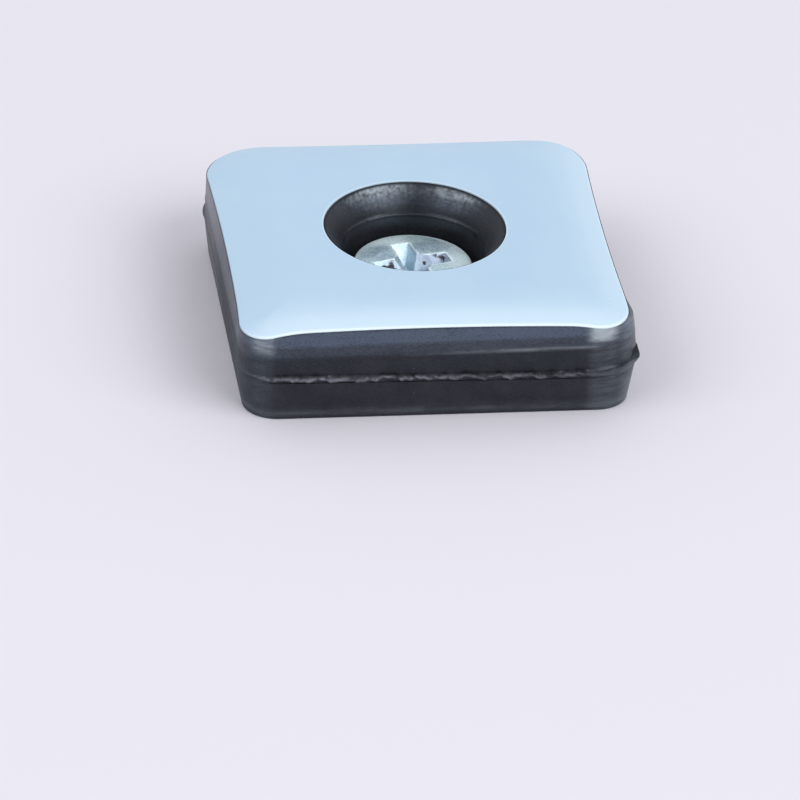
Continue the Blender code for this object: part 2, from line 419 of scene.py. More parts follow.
class Shaper(Sheet):
    """Geometry Nodes tree whose sizes are named inputs."""

    def __init__(self, name: str, sizes: Mapping[str, float]) -> None:
        """Starts a tree.

        Args:
            name: the tree's name.
            sizes: each named input and the value that the modifier gives it.
        """
        tree = bpy.data.node_groups.new(name, "GeometryNodeTree")
        super().__init__(tree)
        tree.interface.new_socket("Geometry", in_out="INPUT", socket_type="NodeSocketGeometry")
        tree.interface.new_socket("Geometry", in_out="OUTPUT", socket_type="NodeSocketGeometry")
        self.values: dict[str, float] = {}
        for label, value in sizes.items():
            made = tree.interface.new_socket(label, in_out="INPUT", socket_type="NodeSocketFloat")
            self.values[made.identifier] = value
        self.source = self.add("NodeGroupInput", out="Geometry")

    def size(self, label: str) -> Term:
        """One of the named inputs."""
        return self.source.other(label)

    def axes(self) -> tuple[Term, Term, Term]:
        """The x, y and z of each point."""
        place = self.add("GeometryNodeInputPosition")
        split = self.add("ShaderNodeSeparateXYZ", None, {0: place}, out="X")
        return split, split.other("Y"), split.other("Z")

    def vector(self, x: Value, y: Value, z: Value) -> Term:
        """A vector from its three parts."""
        return self.add("ShaderNodeCombineXYZ", None, {0: x, 1: y, 2: z})

    def random_vector(self, low: Triple, high: Triple, seed: int) -> Term:
        """A random vector for each point, between two corners of a box."""
        kind, sockets = {"data_type": "FLOAT_VECTOR"}, {0: low, 1: high, "Seed": seed}
        return self.add("FunctionNodeRandomValue", kind, sockets)

    def shape(self, piece: bpy.types.Object, geometry: Term, material: bpy.types.Material) -> None:
        """Ends the tree and turns the piece into its plain result.

        Args:
            piece: the object that the tree works on.
            geometry: what the tree has made.
            material: the finish of the result.
        """
        real = self.add("GeometryNodeRealizeInstances", None, {"Geometry": geometry})
        dressed = self.add(
            "GeometryNodeSetMaterial", None, {"Geometry": real, "Material": material}
        )
        self.add("NodeGroupOutput", None, {"Geometry": dressed})
        modifier = piece.modifiers.new(self.tree.name, "NODES")
        modifier.node_group = self.tree
        for identifier, value in self.values.items():
            modifier[identifier] = value
        bake(piece)


def bake(piece: bpy.types.Object) -> None:
    """Turns a piece with modifiers into a plain mesh with its faces outwards."""
    evaluated = piece.evaluated_get(bpy.context.evaluated_depsgraph_get())
    mesh = bpy.data.meshes.new_from_object(evaluated)
    piece.modifiers.clear()
    spent, piece.data = piece.data, mesh
    bpy.data.meshes.remove(spent)
    mesh.name = piece.name
    outwards(mesh)


def finish_work(work: bmesh.types.BMesh, mesh: bpy.types.Mesh) -> bpy.types.Mesh:
    """Puts a closed shape on a mesh, with its faces outwards."""
    bmesh.ops.recalc_face_normals(work, faces=work.faces)
    work.to_mesh(mesh)
    work.free()
    return mesh


def outwards(mesh: bpy.types.Mesh) -> None:
    """Points a closed mesh's faces outwards."""
    work = bmesh.new()
    work.from_mesh(mesh)
    finish_work(work, mesh)


def add_piece(name: str, mesh: bpy.types.Mesh) -> bpy.types.Object:
    """Puts a mesh in the scene at the origin."""
    piece = bpy.data.objects.new(name, mesh)
    bpy.context.scene.collection.objects.link(piece)
    return piece


def smooth(mesh: bpy.types.Mesh, crisp: float) -> None:
    """Shades a mesh smooth, with edges sharper than crisp degrees left crisp."""
    mesh.shade_smooth()
    mesh.set_sharp_from_angle(angle=math.radians(crisp))


def mark(mesh: bpy.types.Mesh, mask: Mask, values: np.ndarray, domain: str = "POINT") -> None:
    """Writes a mark from 0 to 1 on a mesh's points, or on another part of it."""
    layer = mesh.attributes.new(mask.value, "FLOAT", domain)
    layer.data.foreach_set("value", np.clip(values, 0.0, 1.0).astype(np.float32).ravel())


def settle(piece: bpy.types.Object, body: Body, slot: Slot, *nodes: str) -> None:
    """Ties a finished piece to the frame.

    Args:
        piece: the finished object.
        body: the body that it rides on.
        slot: the record's material slot for it; not used.
        nodes: the CAD nodes that it stands for.
    """
    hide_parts(*nodes)
    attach(piece, body.value)
    LOG.info("%s: %d faces on %s", piece.name, len(piece.data.polygons), body.value)


@dataclass(frozen=True)
class Outline:
    """Rounded square with a radius for each corner and sides drawn in at their middles.

    Corners run from the back right one anticlockwise, and sides from the back one.
    """

    half: float
    corners: Quad
    hollows: Quad = (0.0, 0.0, 0.0, 0.0)
    side_steps: int = 170
    corner_steps: int = 30

    def points(self) -> Ring:
        """Its points in the plane, anticlockwise from the foot of the back right corner."""
        angle = np.linspace(0.0, math.pi / 2, self.corner_steps + 1)
        along = 1.0 - 2.0 * np.arange(1, self.side_steps) / self.side_steps
        turns = []
        for quarter in range(4):
            corner, after = self.corners[quarter], self.corners[(quarter + 1) % 4]
            bend = self.half - corner + corner * np.stack([np.cos(angle), np.sin(angle)], axis=1)
            middle, run = (after - corner) / 2, self.half - (after + corner) / 2
            reach = self.half - self.hollows[quarter] * (1.0 - along**2)
            ring = np.concatenate([bend, np.stack([middle + run * along, reach], axis=1)])
            for _ in range(quarter):
                ring = np.stack([-ring[:, 1], ring[:, 0]], axis=1)
            turns.append(ring)
        return np.concatenate(turns)

    def count(self) -> int:
        """How many points it has."""
        return 4 * (self.side_steps + self.corner_steps)

    def circle(self, radius: float, stretch: float = 1.0) -> Ring:
        """A circle, drawn out along Y by stretch, with points in step with the outline's."""
        step = np.arange(self.count()) - self.corner_steps / 2
        angle = math.pi / 4 + step * 2.0 * math.pi / self.count()
        return radius * np.stack([np.cos(angle), stretch * np.sin(angle)], axis=1)


def outward(ring: Ring) -> Ring:
    """Unit normals of a flat anticlockwise ring, away from its middle."""
    along = np.roll(ring, -1, 0) - np.roll(ring, 1, 0)
    normal = np.stack([along[:, 1], -along[:, 0]], axis=1)
    return normal / np.linalg.norm(normal, axis=1)[:, None]


def raised(ring: Ring, height: Place) -> Ring:
    """A flat ring set at one height, or at a height for each point."""
    return np.column_stack([ring, np.broadcast_to(height, len(ring))])


def eased(share: np.ndarray) -> np.ndarray:
    """Shares from 0 to 1, smoothed at both ends."""
    return share * share * (3.0 - 2.0 * share)


@dataclass(frozen=True)
class Ramp:
    """Rise from 0 at one place to its strength at another, straight or smoothed."""

    start: float
    end: float
    strength: float = 1.0
    smoothed: bool = False

    def at(self, place: Place) -> np.ndarray:
        """How high the rise is at each place."""
        share = np.clip((place - self.start) / (self.end - self.start), 0.0, 1.0)
        return self.strength * (eased(share) if self.smoothed else share)


@dataclass(frozen=True)
class Hump:
    """Soft patch: full at its middle, and mostly gone a width away."""

    middle: float
    width: float
    strength: float = 1.0
    power: int = 2

    def at(self, place: Place) -> np.ndarray:
        """How strong the patch is at each place."""
        return self.strength * np.exp(-(((place - self.middle) / self.width) ** self.power))


def wander(count: int, knots: int, seed: int) -> np.ndarray:
    """Smooth random values from -1 to 1 round a closed line.

    Args:
        count: how many values.
        knots: how many of them are drawn at random, with smooth runs between.
        seed: fixes the draw.

    Returns:
        The values in order round the line.
    """
    drawn = np.random.default_rng(seed).uniform(-1.0, 1.0, knots)
    place = np.arange(count) * knots / count
    knot = place.astype(int)
    share = eased(place - knot)
    return drawn[knot % knots] * (1.0 - share) + drawn[(knot + 1) % knots] * share


def lofted(name: str, rings: Sequence[Ring]) -> bpy.types.Mesh:
    """Mesh skinned over rings, the last joined back to the first.

    Args:
        name: the mesh's name.
        rings: rings of the same number of points, in millimetres.

    Returns:
        The mesh, in metres, with its faces outwards.
    """
    count, turns = len(rings[0]), len(rings)
    index = np.arange(turns * count).reshape(turns, count)
    corners = [index, np.roll(index, -1, 1), np.roll(np.roll(index, -1, 1), -1, 0)]
    faces = np.stack([*corners, np.roll(index, -1, 0)], axis=2).reshape(-1, 4)
    mesh = bpy.data.meshes.new(name)
    mesh.from_pydata(np.concatenate(rings) * MM, [], faces.tolist())
    outwards(mesh)
    return mesh


def turned(name: str, profile: Profile, steps: int, closed: bool) -> bpy.types.Mesh:
    """Mesh turned about Z.

    Args:
        name: the mesh's name.
        profile: (radius, height) points in millimetres.
        steps: facets round the axis.
        closed: whether the profile's last point joins its first, or both lie on the axis.

    Returns:
        The mesh, in metres, with its faces outwards.
    """
    work = bmesh.new()
    angles = [2.0 * math.pi * step / steps for step in range(steps)]
    loops = []
    for radius, height in profile:
        reach = [(radius * math.cos(a), radius * math.sin(a), height) for a in angles]
        loops.append([work.verts.new(Vector(point) * MM) for point in reach])
    pairs = list(zip(loops, loops[1:] + loops[:1]))
    for upper, lower in pairs if closed else pairs[:-1]:
        for step in range(steps):
            after = (step + 1) % steps
            work.faces.new((upper[step], upper[after], lower[after], lower[step]))
    bmesh.ops.remove_doubles(work, verts=work.verts, dist=SAME_POINT * MM)
    return finish_work(work, bpy.data.meshes.new(name))


def shares(steps: int) -> list[float]:
    """Even shares from 0 to 1."""
    return [step / steps for step in range(steps + 1)]


def arc(steps: int) -> list[tuple[float, float]]:
    """(Sine, cosine) round a quarter turn, from 0 to 90 degrees."""
    angles = [share * math.pi / 2 for share in shares(steps)]
    return [(math.sin(angle), math.cos(angle)) for angle in angles]


@dataclass(frozen=True)
class SlidingFace:
    """Shape of the sliding face that the facing and the base's pocket share."""

    height: float = 6.9
    half: float = 12.2
    corners: Quad = (3.7, 3.75, 1.95, 2.45)
    hollows: Quad = (0.2, 0.165, 0.25, 0.19)
    roll_width: float = 4.2
    roll_drop: float = 0.75
    thickness: float = 0.6
    bond: float = 0.03
    hole_radius: float = 5.75
    hole_stretch: float = 1.03
    hole_shift: float = -0.13

    def outline(self, inset: float) -> Outline:
        """The facing's outline, this far in from its edge."""
        corners = tuple(corner - inset for corner in self.corners)
        return Outline(self.half - inset, corners, self.hollows)

    def level(self, ring: Ring) -> np.ndarray:
        """Height of the face over each point: flat, and rolled down along the sides.

        The back right corner isn't rolled both ways.
        """
        past = np.maximum(np.abs(ring[:, :2]) - (self.half - self.roll_width), 0.0)
        across, along = ((past / self.roll_width) ** 2).T
        both = np.where((ring[:, :2] > 0.0).all(axis=1), across * along, 0.0)
        return self.height - self.roll_drop * (across + along - both)

    def ring(self, inset: float, depth: float) -> Ring:
        """Outline at an inset, laid this far under the face."""
        flat = self.outline(inset).points()
        return raised(flat, self.level(flat) - depth)

    def hole(self, radius: float, share: float = 1.0) -> Ring:
        """A circle in step with the outline, out of true by a share of what the hole is."""
        stretch = 1.0 + (self.hole_stretch - 1.0) * share
        return self.outline(0.0).circle(radius, stretch) + (0.0, self.hole_shift * share)


@dataclass(frozen=True)
class FinRing:
    """One ring of the torn fin: its share of the reach, its height and how pale it is, torn and
    painted with a highlight.
    """

    reach: float
    height: float
    torn: float


@dataclass(frozen=True)
class MouldedBase:
    """Rubber base: drafted sides, ragged flash, pocket and stepped recess.

    The mould's two halves met a little out of line, so the lower one has a shift along X.
    """

    face: SlidingFace
    lower_half: float = 12.46
    lower_corners: Quad = (2.5, 3.1, 2.5, 2.5)
    lower_draft: float = 0.35
    lower_shift: float = 0.26
    lower_sag: float = 0.0008
    sag_knots: int = 37
    groove_height: float = 0.12
    groove_depth: float = 0.05
    groove_foot: float = 0.3
    upper_margin: float = 0.05
    parting: float = 2.9
    parting_tilt: float = -0.012
    seat_edge: float = 0.13
    flash_root: float = 0.17
    flash_width: float = 0.13
    flash_least: float = 0.03
    frayed_front: Ramp = Ramp(0.8, 1.0)
    least_frayed: float = 0.25
    flash_ragged: float = 0.11
    ragged_share: float = 0.5
    ragged_knots: tuple[int, int] = (380, 150)
    flash_wave: float = 0.2
    wave_share: float = 0.6
    wave_knots: tuple[int, int] = (170, 400)
    flash_limit: float = 12.83
    # The last value of each ring is how pale it is: torn rubber with a painted highlight on the
    # upper rings.
    fin: tuple[FinRing, ...] = (
        FinRing(0.55, -0.11, 0.0),
        FinRing(0.9, -0.08, 0.05),
        FinRing(1.0, -0.035, 0.25),
        FinRing(1.0, 0.035, 0.9),
        FinRing(0.85, 0.08, 1.0),
        FinRing(0.4, 0.12, 0.3),
    )
    flap_place: tuple[float, float] = (12.35, -10.4)
    flap_size: float = 1.3
    flap_spread: float = 2.4
    flap_reach: float = 0.4
    flap_lift: float = 0.75
    flap_top: float = 6.2
    web_reach: float = 0.56
    web_power: float = 0.35
    fold_height: float = 4.5
    fold_tilt: float = 0.014
    fold_ridge: float = 0.035
    fold_knots: int = 24
    lip_step: float = 0.07
    pocket_edge: float = 0.1
    rim_sink: float = 0.06
    rim_land: float = 0.1
    rim_radius: float = 5.7
    rim_edges: tuple[float, float, float] = (0.03, 0.02, 0.05)
    funnel_swell: float = 0.12
    ridge_radius: float = 4.6
    ridge_height: float = 5.1
    ridge_size: float = 0.1
    ridge_back: float = 0.3
    ridge_least: float = 0.05
    bore_radius: float = 4.4
    seat_height: float = 1.6
    hole_radius: float = 2.2
    edge_break: float = 0.1
    seat_steps: int = 5
    lower_steps: int = 8
    wall_steps: int = 7
    shoulder_steps: int = 14
    pocket_steps: int = 8
    funnel_steps: int = 14
    ridge_steps: int = 6
    bore_steps: int = 6
    crisp: float = 50.0
    seed: int = 11

    @property
    def rim(self) -> float:
        """Height of the recess's rim."""
        return self.face.height - self.rim_sink

    def lower_outline(self, inset: float) -> Ring:
        """Outline of the mould's lower half, this far in from its parting line."""
        corners = tuple(corner - inset for corner in self.lower_corners)
        return Outline(self.lower_half - inset, corners).points() + (self.lower_shift, 0.0)

    def upper_outline(self) -> Ring:
        """Outline of the mould's upper half, which keeps close to the facing's corners."""
        corners = tuple(corner + self.upper_margin for corner in self.face.corners)
        return Outline(self.face.half + self.upper_margin, corners).points()

    def lower_rings(self) -> list[Ring]:
        """Lower half of the mould, from the underside up to the groove under the flash."""
        rings = []
        for sine, cosine in arc(self.seat_steps):
            inset = self.lower_draft + self.seat_edge * (1.0 - sine)
            rings.append(raised(self.lower_outline(inset), self.seat_edge * (1.0 - cosine)))
        edge = self.lower_outline(0.0)
        top = self.split(edge) - self.flash_root - self.groove_height
        sag = self.lower_sag * wander(len(edge), self.sag_knots, self.seed)
        for share in shares(self.lower_steps)[1:]:
            ring = self.lower_outline(self.lower_draft * (1.0 - share))
            ring = ring * (1.0 + sag[:, None] * (1.0 - share))
            rings.append(raised(ring, self.seat_edge + (top - self.seat_edge) * share))
        groove = edge - outward(edge) * (self.groove_depth * self.frayed(edge))[:, None]
        rings.append(raised(groove, top + self.groove_foot * self.groove_height))
        rings.append(raised(groove, top + self.groove_height))
        return rings

    def split(self, ring: Ring) -> np.ndarray:
        """Height of the parting line, which drops a little to the right."""
        return self.parting + self.parting_tilt * ring[:, 0]

    def frayed(self, ring: Ring) -> np.ndarray:
        """How ragged the fin is at each point: most along the front and right sides."""
        out = outward(ring[:, :2])
        most = np.maximum(self.frayed_front.at(-out[:, 1]), out[:, 0])
        return self.least_frayed + (1.0 - self.least_frayed) * most

    def tangled(self, count: int, share: float, knots: tuple[int, int], turn: int) -> np.ndarray:
        """Two lines of random values in one.

        Args:
            count: how many values.
            share: how much of the first line, with the rest from the second.
            knots: how many values of each line are drawn at random.
            turn: how far the first line's seed lies past the base's own.

        Returns:
            The values in order round the base.
        """
        first = wander(count, knots[0], self.seed + turn)
        second = wander(count, knots[1], self.seed + turn + 1)
        return share * first + (1.0 - share) * second

    def flash_line(self, share: float, below: bool) -> Ring:
        """A ring of the torn fin along the parting line.

        Args:
            share: how far out it lies, from 0 at the fin's root to 1 at its tip.
            below: whether it springs from the lower half's edge or the upper one's.

        Returns:
            The ring, at the height of the fin's middle.
        """
        upper, lower = self.upper_outline(), self.lower_outline(0.0)
        out, torn = outward(upper), self.frayed(upper)
        ledge = np.maximum(((lower - upper) * out).sum(axis=1), 0.0)
        ragged = self.tangled(len(upper), self.ragged_share, self.ragged_knots, 1)
        reach = np.maximum(self.flash_width + self.flash_ragged * ragged, self.flash_least) * torn
        flap = self.flap_reach * self.flap(upper, self.flap_size)
        tip = upper + out * (ledge + reach + flap)[:, None]
        tip = np.clip(tip, -self.flash_limit, self.flash_limit)
        wave = self.tangled(len(upper), self.wave_share, self.wave_knots, 3)
        lift = self.flash_wave * wave * torn + self.flap_lift * self.flap(upper, self.flap_spread)
        root = lower if below else upper
        return raised(root + (tip - root) * share, self.split(upper) + share * lift)

    def flap(self, ring: Ring, size: float) -> np.ndarray:
        """How much each point belongs to the flap of flash by the front right corner."""
        apart = np.linalg.norm(ring[:, :2] - self.flap_place, axis=1)
        return Hump(0.0, size).at(apart)

    def fold(self, ring: Ring) -> np.ndarray:
        """Height of the fold under the shoulder, which climbs a little to the right."""
        return self.fold_height + self.fold_tilt * ring[:, 0]

    def webbed(self, ring: Ring) -> Ring:
        """A ring of the wall, drawn out where the flap hangs from it."""
        share = np.clip((self.flap_top - ring[:, 2]) / (self.flap_top - self.parting), 0.0, 1.0)
        reach = self.web_reach * self.flap(ring, self.flap_size) * share**self.web_power
        out = outward(ring[:, :2]) * reach[:, None]
        flat = np.clip(ring[:, :2] + out, -self.flash_limit, self.flash_limit)
        return raised(flat, ring[:, 2])

    def flash_rings(self) -> list[Ring]:
        """Torn fin along the parting line, from below to above."""
        rings = []
        for ring in self.fin:
            rings.append(self.flash_line(ring.reach, ring.height < 0) + (0.0, 0.0, ring.height))
        return rings

    def wall_rings(self) -> list[Ring]:
        """Upper half's wall, from the parting line up to the fold under the shoulder."""
        wall = self.upper_outline()
        low, fold = self.split(wall) + self.flash_root, self.fold(wall)
        rings = []
        for share in shares(self.wall_steps)[:-1]:
            rise = self.flap_lift * self.flap(wall, self.flap_spread) * (1.0 - share)
            rings.append(raised(wall, low + (fold - low) * share + rise))
        proud = self.fold_ridge * (0.5 + 0.5 * wander(len(wall), self.fold_knots, self.seed + 5))
        rings.append(raised(wall + outward(wall) * proud[:, None], fold))
        return [self.webbed(ring) for ring in rings]

    def shoulder_rings(self) -> list[Ring]:
        """Shoulder that rounds over from the fold to the lip beside the facing."""
        upper = self.upper_outline()
        start = raised(upper, self.fold(upper))
        end = self.face.ring(-self.face.bond, self.lip_step)
        rings = []
        for share, (sine, cosine) in zip(shares(self.shoulder_steps), arc(self.shoulder_steps)):
            across, rise = (1.0 - cosine + share) / 2, (sine + share) / 2
            flat = start[:, :2] + (end[:, :2] - start[:, :2]) * across
            rings.append(raised(flat, start[:, 2] + (end[:, 2] - start[:, 2]) * rise))
        return [self.webbed(ring) for ring in rings[1:-1]] + rings[-1:]

    def pocket_rings(self) -> list[Ring]:
        """Pocket that the facing is bonded into, from its wall in to the recess."""
        depth = self.face.thickness + self.face.bond
        rings = [self.face.ring(-self.face.bond, self.lip_step + self.pocket_edge)]
        outer = self.face.outline(-self.face.bond).points()
        inner = self.face.hole(self.rim_radius)
        for share in shares(self.pocket_steps):
            flat = outer + (inner - outer) * share
            rings.append(raised(flat, self.face.level(flat) - depth))
        return rings

    def recess_profile(self) -> Profile:
        """Rim, funnel, ridge, bore, washer seat and screw hole, from the rim down."""
        foot, land = self.ridge_height + self.ridge_size, self.rim - self.rim_land
        drop, crest, inset = self.rim_edges
        start = self.rim_radius - inset
        profile = [(self.rim_radius, self.rim - drop), (self.rim_radius - crest, self.rim)]
        for share in shares(self.funnel_steps):
            reach = start + (self.ridge_radius - start) * share
            swell = self.funnel_swell * math.sin(share * math.pi)
            profile.append((reach - swell, land + (foot - land) * share))
        for share in shares(self.ridge_steps)[1:-1]:
            reach = self.ridge_radius - self.ridge_size * math.sin(share * math.pi)
            height = self.ridge_height + self.ridge_size * math.cos(share * math.pi)
            profile.append((reach, height))
        top, edge = self.ridge_height - self.ridge_size, self.edge_break
        for share in shares(self.bore_steps):
            reach = self.ridge_radius + (self.bore_radius - self.ridge_radius) * share
            profile.append((reach, top + (self.seat_height + edge - top) * share))
        seat = [(self.bore_radius - edge, self.seat_height)]
        seat.append((self.hole_radius + edge, self.seat_height))
        hole = [(self.hole_radius, self.seat_height - edge), (self.hole_radius, edge)]
        return profile + seat + hole + [(self.hole_radius + edge, 0.0)]

    def recess_rings(self) -> list[Ring]:
        """The recess, drawn out at its rim as the facing's hole is, with its ridge at the back."""
        rise = self.face.height - self.ridge_height
        rings = []
        for radius, height in self.recess_profile():
            share = max(height - self.ridge_height, 0.0) / rise
            ring = self.face.hole(radius, share)
            if abs(height - self.ridge_height) < self.ridge_size:
                plain = self.face.hole(self.ridge_radius, share)
                back = (1.0 + self.ridge_back) * ring[:, 1] / self.ridge_radius - self.ridge_back
                ring = plain + (ring - plain) * np.clip(back, self.ridge_least, 1.0)[:, None]
            rings.append(raised(ring, height))
        return rings

    def build(self, finish: bpy.types.Material) -> None:
        """Makes the base and ties it to the frame.

        Args:
            finish: the rubber.
        """
        lower, pocket, recess = self.lower_rings(), self.pocket_rings(), self.recess_rings()
        outside = lower + self.flash_rings() + self.wall_rings() + self.shoulder_rings()
        mesh = lofted("rubber_base_moulding", outside + pocket + recess)
        BaseWearAndLight(self).mark_mesh(mesh, outside, pocket, recess, len(lower))
        mesh.materials.append(finish)
        smooth(mesh, self.crisp)
        piece = add_piece("rubber_base_moulding", mesh)
        settle(piece, Body.GLIDE, Slot.RUBBER, "rubber_base")


@dataclass(frozen=True)
class BaseWearAndLight:
    """Bloom, painted sheen, painted shadow, matt and torn places of the base, as marks for its
    finish.

    Heights are measured from the fold, the foot, the recess's rim or its ridge, as their names say.
    Sides are measured along X or Y, away from the axis, and turns in degrees round it from +X.
    """

    base: MouldedBase
    # Two patches of painted sheen at the back of the funnel.
    funnel_left: Hump = Hump(109.0, 21.0)
    funnel_right: Hump = Hump(53.0, 15.0, 0.9)
    streak_knots: int = 170
    streak_depth: float = 0.3
    grain_knots: int = 230
    grain_depth: float = 0.7
    least_streak: float = 0.2
    under_rim: Ramp = Ramp(-0.2, -0.1, smoothed=True)
    rim_sheen: Ramp = Ramp(-0.8, -0.2, 0.55, True)
    ridge_sheen: Hump = Hump(0.03, 0.1, 0.12)
    over_ridge: Ramp = Ramp(0.2, 1.1, smoothed=True)
    band_waves: float = 23.0
    band_depth: float = 0.15
    recess_haze: float = 0.05
    funnel_haze: float = 0.04
    patch_sheen: float = 0.7
    # Painted sheen on the front corners, the side edges, the fold line, the foot and the flap.
    corner_left: Hump = Hump(-10.85, 0.63, 0.46, 4)
    corner_right: Hump = Hump(10.35, 0.85, 1.0, 4)
    corner_front: Ramp = Ramp(9.0, 10.0)
    corner_least: float = 0.08
    corner_over_fold: Ramp = Ramp(0.15, 0.55, 0.95, True)
    edge_line: Hump = Hump(12.1, 0.6)
    edge_sides: tuple[float, float] = (0.05, 0.09)
    edge_least: float = 0.15
    edge_front: Ramp = Ramp(8.5, 11.5, 0.85)
    fold_line: Hump = Hump(0.0, 0.1, 0.27)
    fold_start: Ramp = Ramp(-3.0, 6.0)
    fold_end: Ramp = Ramp(-10.4, -9.2)
    foot_line: Hump = Hump(0.5, 0.2, 0.1)
    flap_sheen: float = 0.12
    least_bloom: float = 0.03
    # Bloom over the shoulder, partly painted sheen.
    fold_bloom_and_sheen: Ramp = Ramp(-0.06, 0.10, 0.27, True)
    shoulder_bloom_and_sheen: Ramp = Ramp(0.6, 1.0, 0.9, True)
    shoulder_left: Ramp = Ramp(11.2, 12.0, 0.65)
    # Painted sheen on the front corners.
    corner_sheen_sides: tuple[float, float] = (0.12, 0.18)
    corner_sheen_end: Ramp = Ramp(9.4, 11.4, smoothed=True)
    # Painted shadow: bloom is cut down on the last two rings, a dark line under the facing's edge.
    lip_shadow: tuple[float, float] = (0.1, 0.5)
    recess_gloss: float = 0.4
    fold_gloss: Ramp = Ramp(0.0, 0.4, 0.4, True)
    matt_left: Ramp = Ramp(10.9, 11.7, 2.0)
    matt_front: Ramp = Ramp(-4.0, 6.0)
    matt_power: int = 4
    # Paleness of the fin: torn rubber with a painted highlight, brightest at the front left and
    # fading to the right.
    torn_front: Ramp = Ramp(0.75, 1.0)
    torn_back: float = 0.1
    torn_middle: float = 0.7
    torn_knots: int = 34
    torn_ragged: float = 0.35
    torn_fade: float = 0.055

    def over_fold(self, ring: Ring) -> np.ndarray:
        """Height of each point over the fold."""
        return ring[:, 2] - self.base.fold(ring)

    def streaked(self, ring: Ring) -> np.ndarray:
        """Two patches of painted sheen at the back of the funnel, streaked and grained, for each
        point.
        """
        turn = np.degrees(np.arctan2(ring[:, 1], ring[:, 0]))
        streaks = wander(len(ring), self.streak_knots, self.base.seed + 7)
        own_seed = self.base.seed + 8 + round(ring[0, 2] * 100.0)
        grain = wander(len(ring), self.grain_knots, own_seed)
        patches = self.funnel_left.at(turn) + self.funnel_right.at(turn)
        lip = 1.0 - self.under_rim.at(ring[:, 2] - self.base.rim)
        uneven = 1.0 + self.streak_depth * streaks + self.grain_depth * grain
        return patches * lip * np.maximum(uneven, self.least_streak)

    def haze_and_sheen(self, ring: Ring) -> np.ndarray:
        """How much bloom and painted sheen each point of the recess carries, most above the ridge.
        """
        funnel = self.over_ridge.at(ring[:, 2] - self.base.ridge_height)
        band = 1.0 - self.band_depth + self.band_depth * np.sin(self.band_waves * ring[:, 2])
        haze = self.funnel_haze + self.patch_sheen * self.streaked(ring)
        return self.recess_haze + haze * funnel * band

    def funnel_sheen(self, ring: Ring) -> np.ndarray:
        """How much painted sheen each point of the recess carries: just under its rim and on its
        ridge.
        """
        rim = self.rim_sheen.at(ring[:, 2] - self.base.rim)
        ridge = self.ridge_sheen.at(ring[:, 2] - self.base.ridge_height)
        return self.streaked(ring) * (rim + ridge)

    def bloom_and_painted_sheen(self, ring: Ring) -> np.ndarray:
        """How much bluish bloom and painted sheen each point of the outside carries: most over the
        shoulder, with painted sheen at the front corners.
        """
        x, over = ring[:, 0], self.over_fold(ring)
        shoulder = self.fold_bloom_and_sheen.at(over) + self.shoulder_bloom_and_sheen.at(over)
        shoulder = shoulder * (1.0 - self.shoulder_left.at(-x))
        corner_sheen = np.where(x < 0.0, *self.corner_sheen_sides) * self.corner_sheen_end.at(np.abs(x))
        return self.least_bloom + shoulder + corner_sheen

    def sheen(self, ring: Ring) -> np.ndarray:
        """How much painted sheen each point of the outside carries: corners, edges, fold, foot and
        flap.
        """
        x, y, over = ring[:, 0], ring[:, 1], self.over_fold(ring)
        corner = self.corner_front.at(-y) * (self.corner_left.at(x) + self.corner_right.at(x))
        corner = corner * (self.corner_least + self.corner_over_fold.at(over))
        edge = np.where(x < 0.0, *self.edge_sides) * self.edge_line.at(np.abs(x))
        edge = edge * (self.edge_least + self.edge_front.at(-y))
        line = self.fold_line.at(over) * self.fold_start.at(x) * self.fold_end.at(-x)
        flap = self.flap_sheen * self.base.flap(ring, self.base.flap_size)
        return corner + edge + line + self.foot_line.at(ring[:, 2]) + flap

    def matt(self, ring: Ring) -> np.ndarray:
        """How matt each point of the outside is: its left wall, most towards the front."""
        return self.matt_left.at(-ring[:, 0]) * self.matt_front.at(-ring[:, 1])

    def side_matt(self, ring: Ring) -> np.ndarray:
        """How matt each point of the recess is: most at its left and right."""
        return (np.abs(ring[:, 0]) / np.hypot(ring[:, 0], ring[:, 1])) ** self.matt_power

    def tear_and_highlight(self, ring: Ring) -> np.ndarray:
        """How pale the fin is along its length, torn and painted with a highlight: most at the
        front, and less to the right.
        """
        front = self.torn_front.at(-outward(ring[:, :2])[:, 1])
        ragged = self.torn_ragged * wander(len(ring), self.torn_knots, self.base.seed + 6)
        pale = self.torn_middle + ragged - self.torn_fade * ring[:, 0]
        return np.maximum(front, self.torn_back) * pale

    def mark_mesh(
        self,
        mesh: bpy.types.Mesh,
        outside: list[Ring],
        pocket: list[Ring],
        recess: list[Ring],
        fin_start: int,
    ) -> None:
        """Writes every mark on the base's mesh.

        Args:
            mesh: the mesh, skinned over the three lists of rings in this order.
            outside: rings from the underside up to the lip.
            pocket: rings of the facing's pocket.
            recess: rings of the recess, from its rim down.
            fin_start: which of the outside's rings is the first of the fin.
        """
        bare = [np.zeros(len(ring)) for ring in pocket]
        bloom_and_painted_sheen = [self.bloom_and_painted_sheen(ring) for ring in outside]
        # Painted shadow under the facing's edge.
        for place, share in enumerate(self.lip_shadow, 1):
            bloom_and_painted_sheen[-place] = bloom_and_painted_sheen[-place] * share
        haze_and_sheen = [self.haze_and_sheen(ring) for ring in recess]
        funnel_sheen = [self.funnel_sheen(ring) for ring in recess]
        gloss = [self.fold_gloss.at(self.over_fold(ring)) for ring in outside]
        torn = [np.zeros(len(ring)) for ring in outside + pocket + recess]
        for place, ring in enumerate(self.base.fin, fin_start):
            torn[place] = ring.torn * self.tear_and_highlight(outside[fin_start])
        matt = [self.matt(ring) for ring in outside] + bare
        marks = {
            Mask.BLOOM: bloom_and_painted_sheen + bare + haze_and_sheen,
            Mask.SHEEN: [self.sheen(ring) for ring in outside] + bare + funnel_sheen,
            Mask.GLOSS: gloss + bare + [self.recess_gloss * haze for haze in haze_and_sheen],
            Mask.TORN: torn,
            Mask.MATT: matt + [self.side_matt(ring) for ring in recess],
        }
        for mask, values in marks.items():
            mark(mesh, mask, np.concatenate(values))


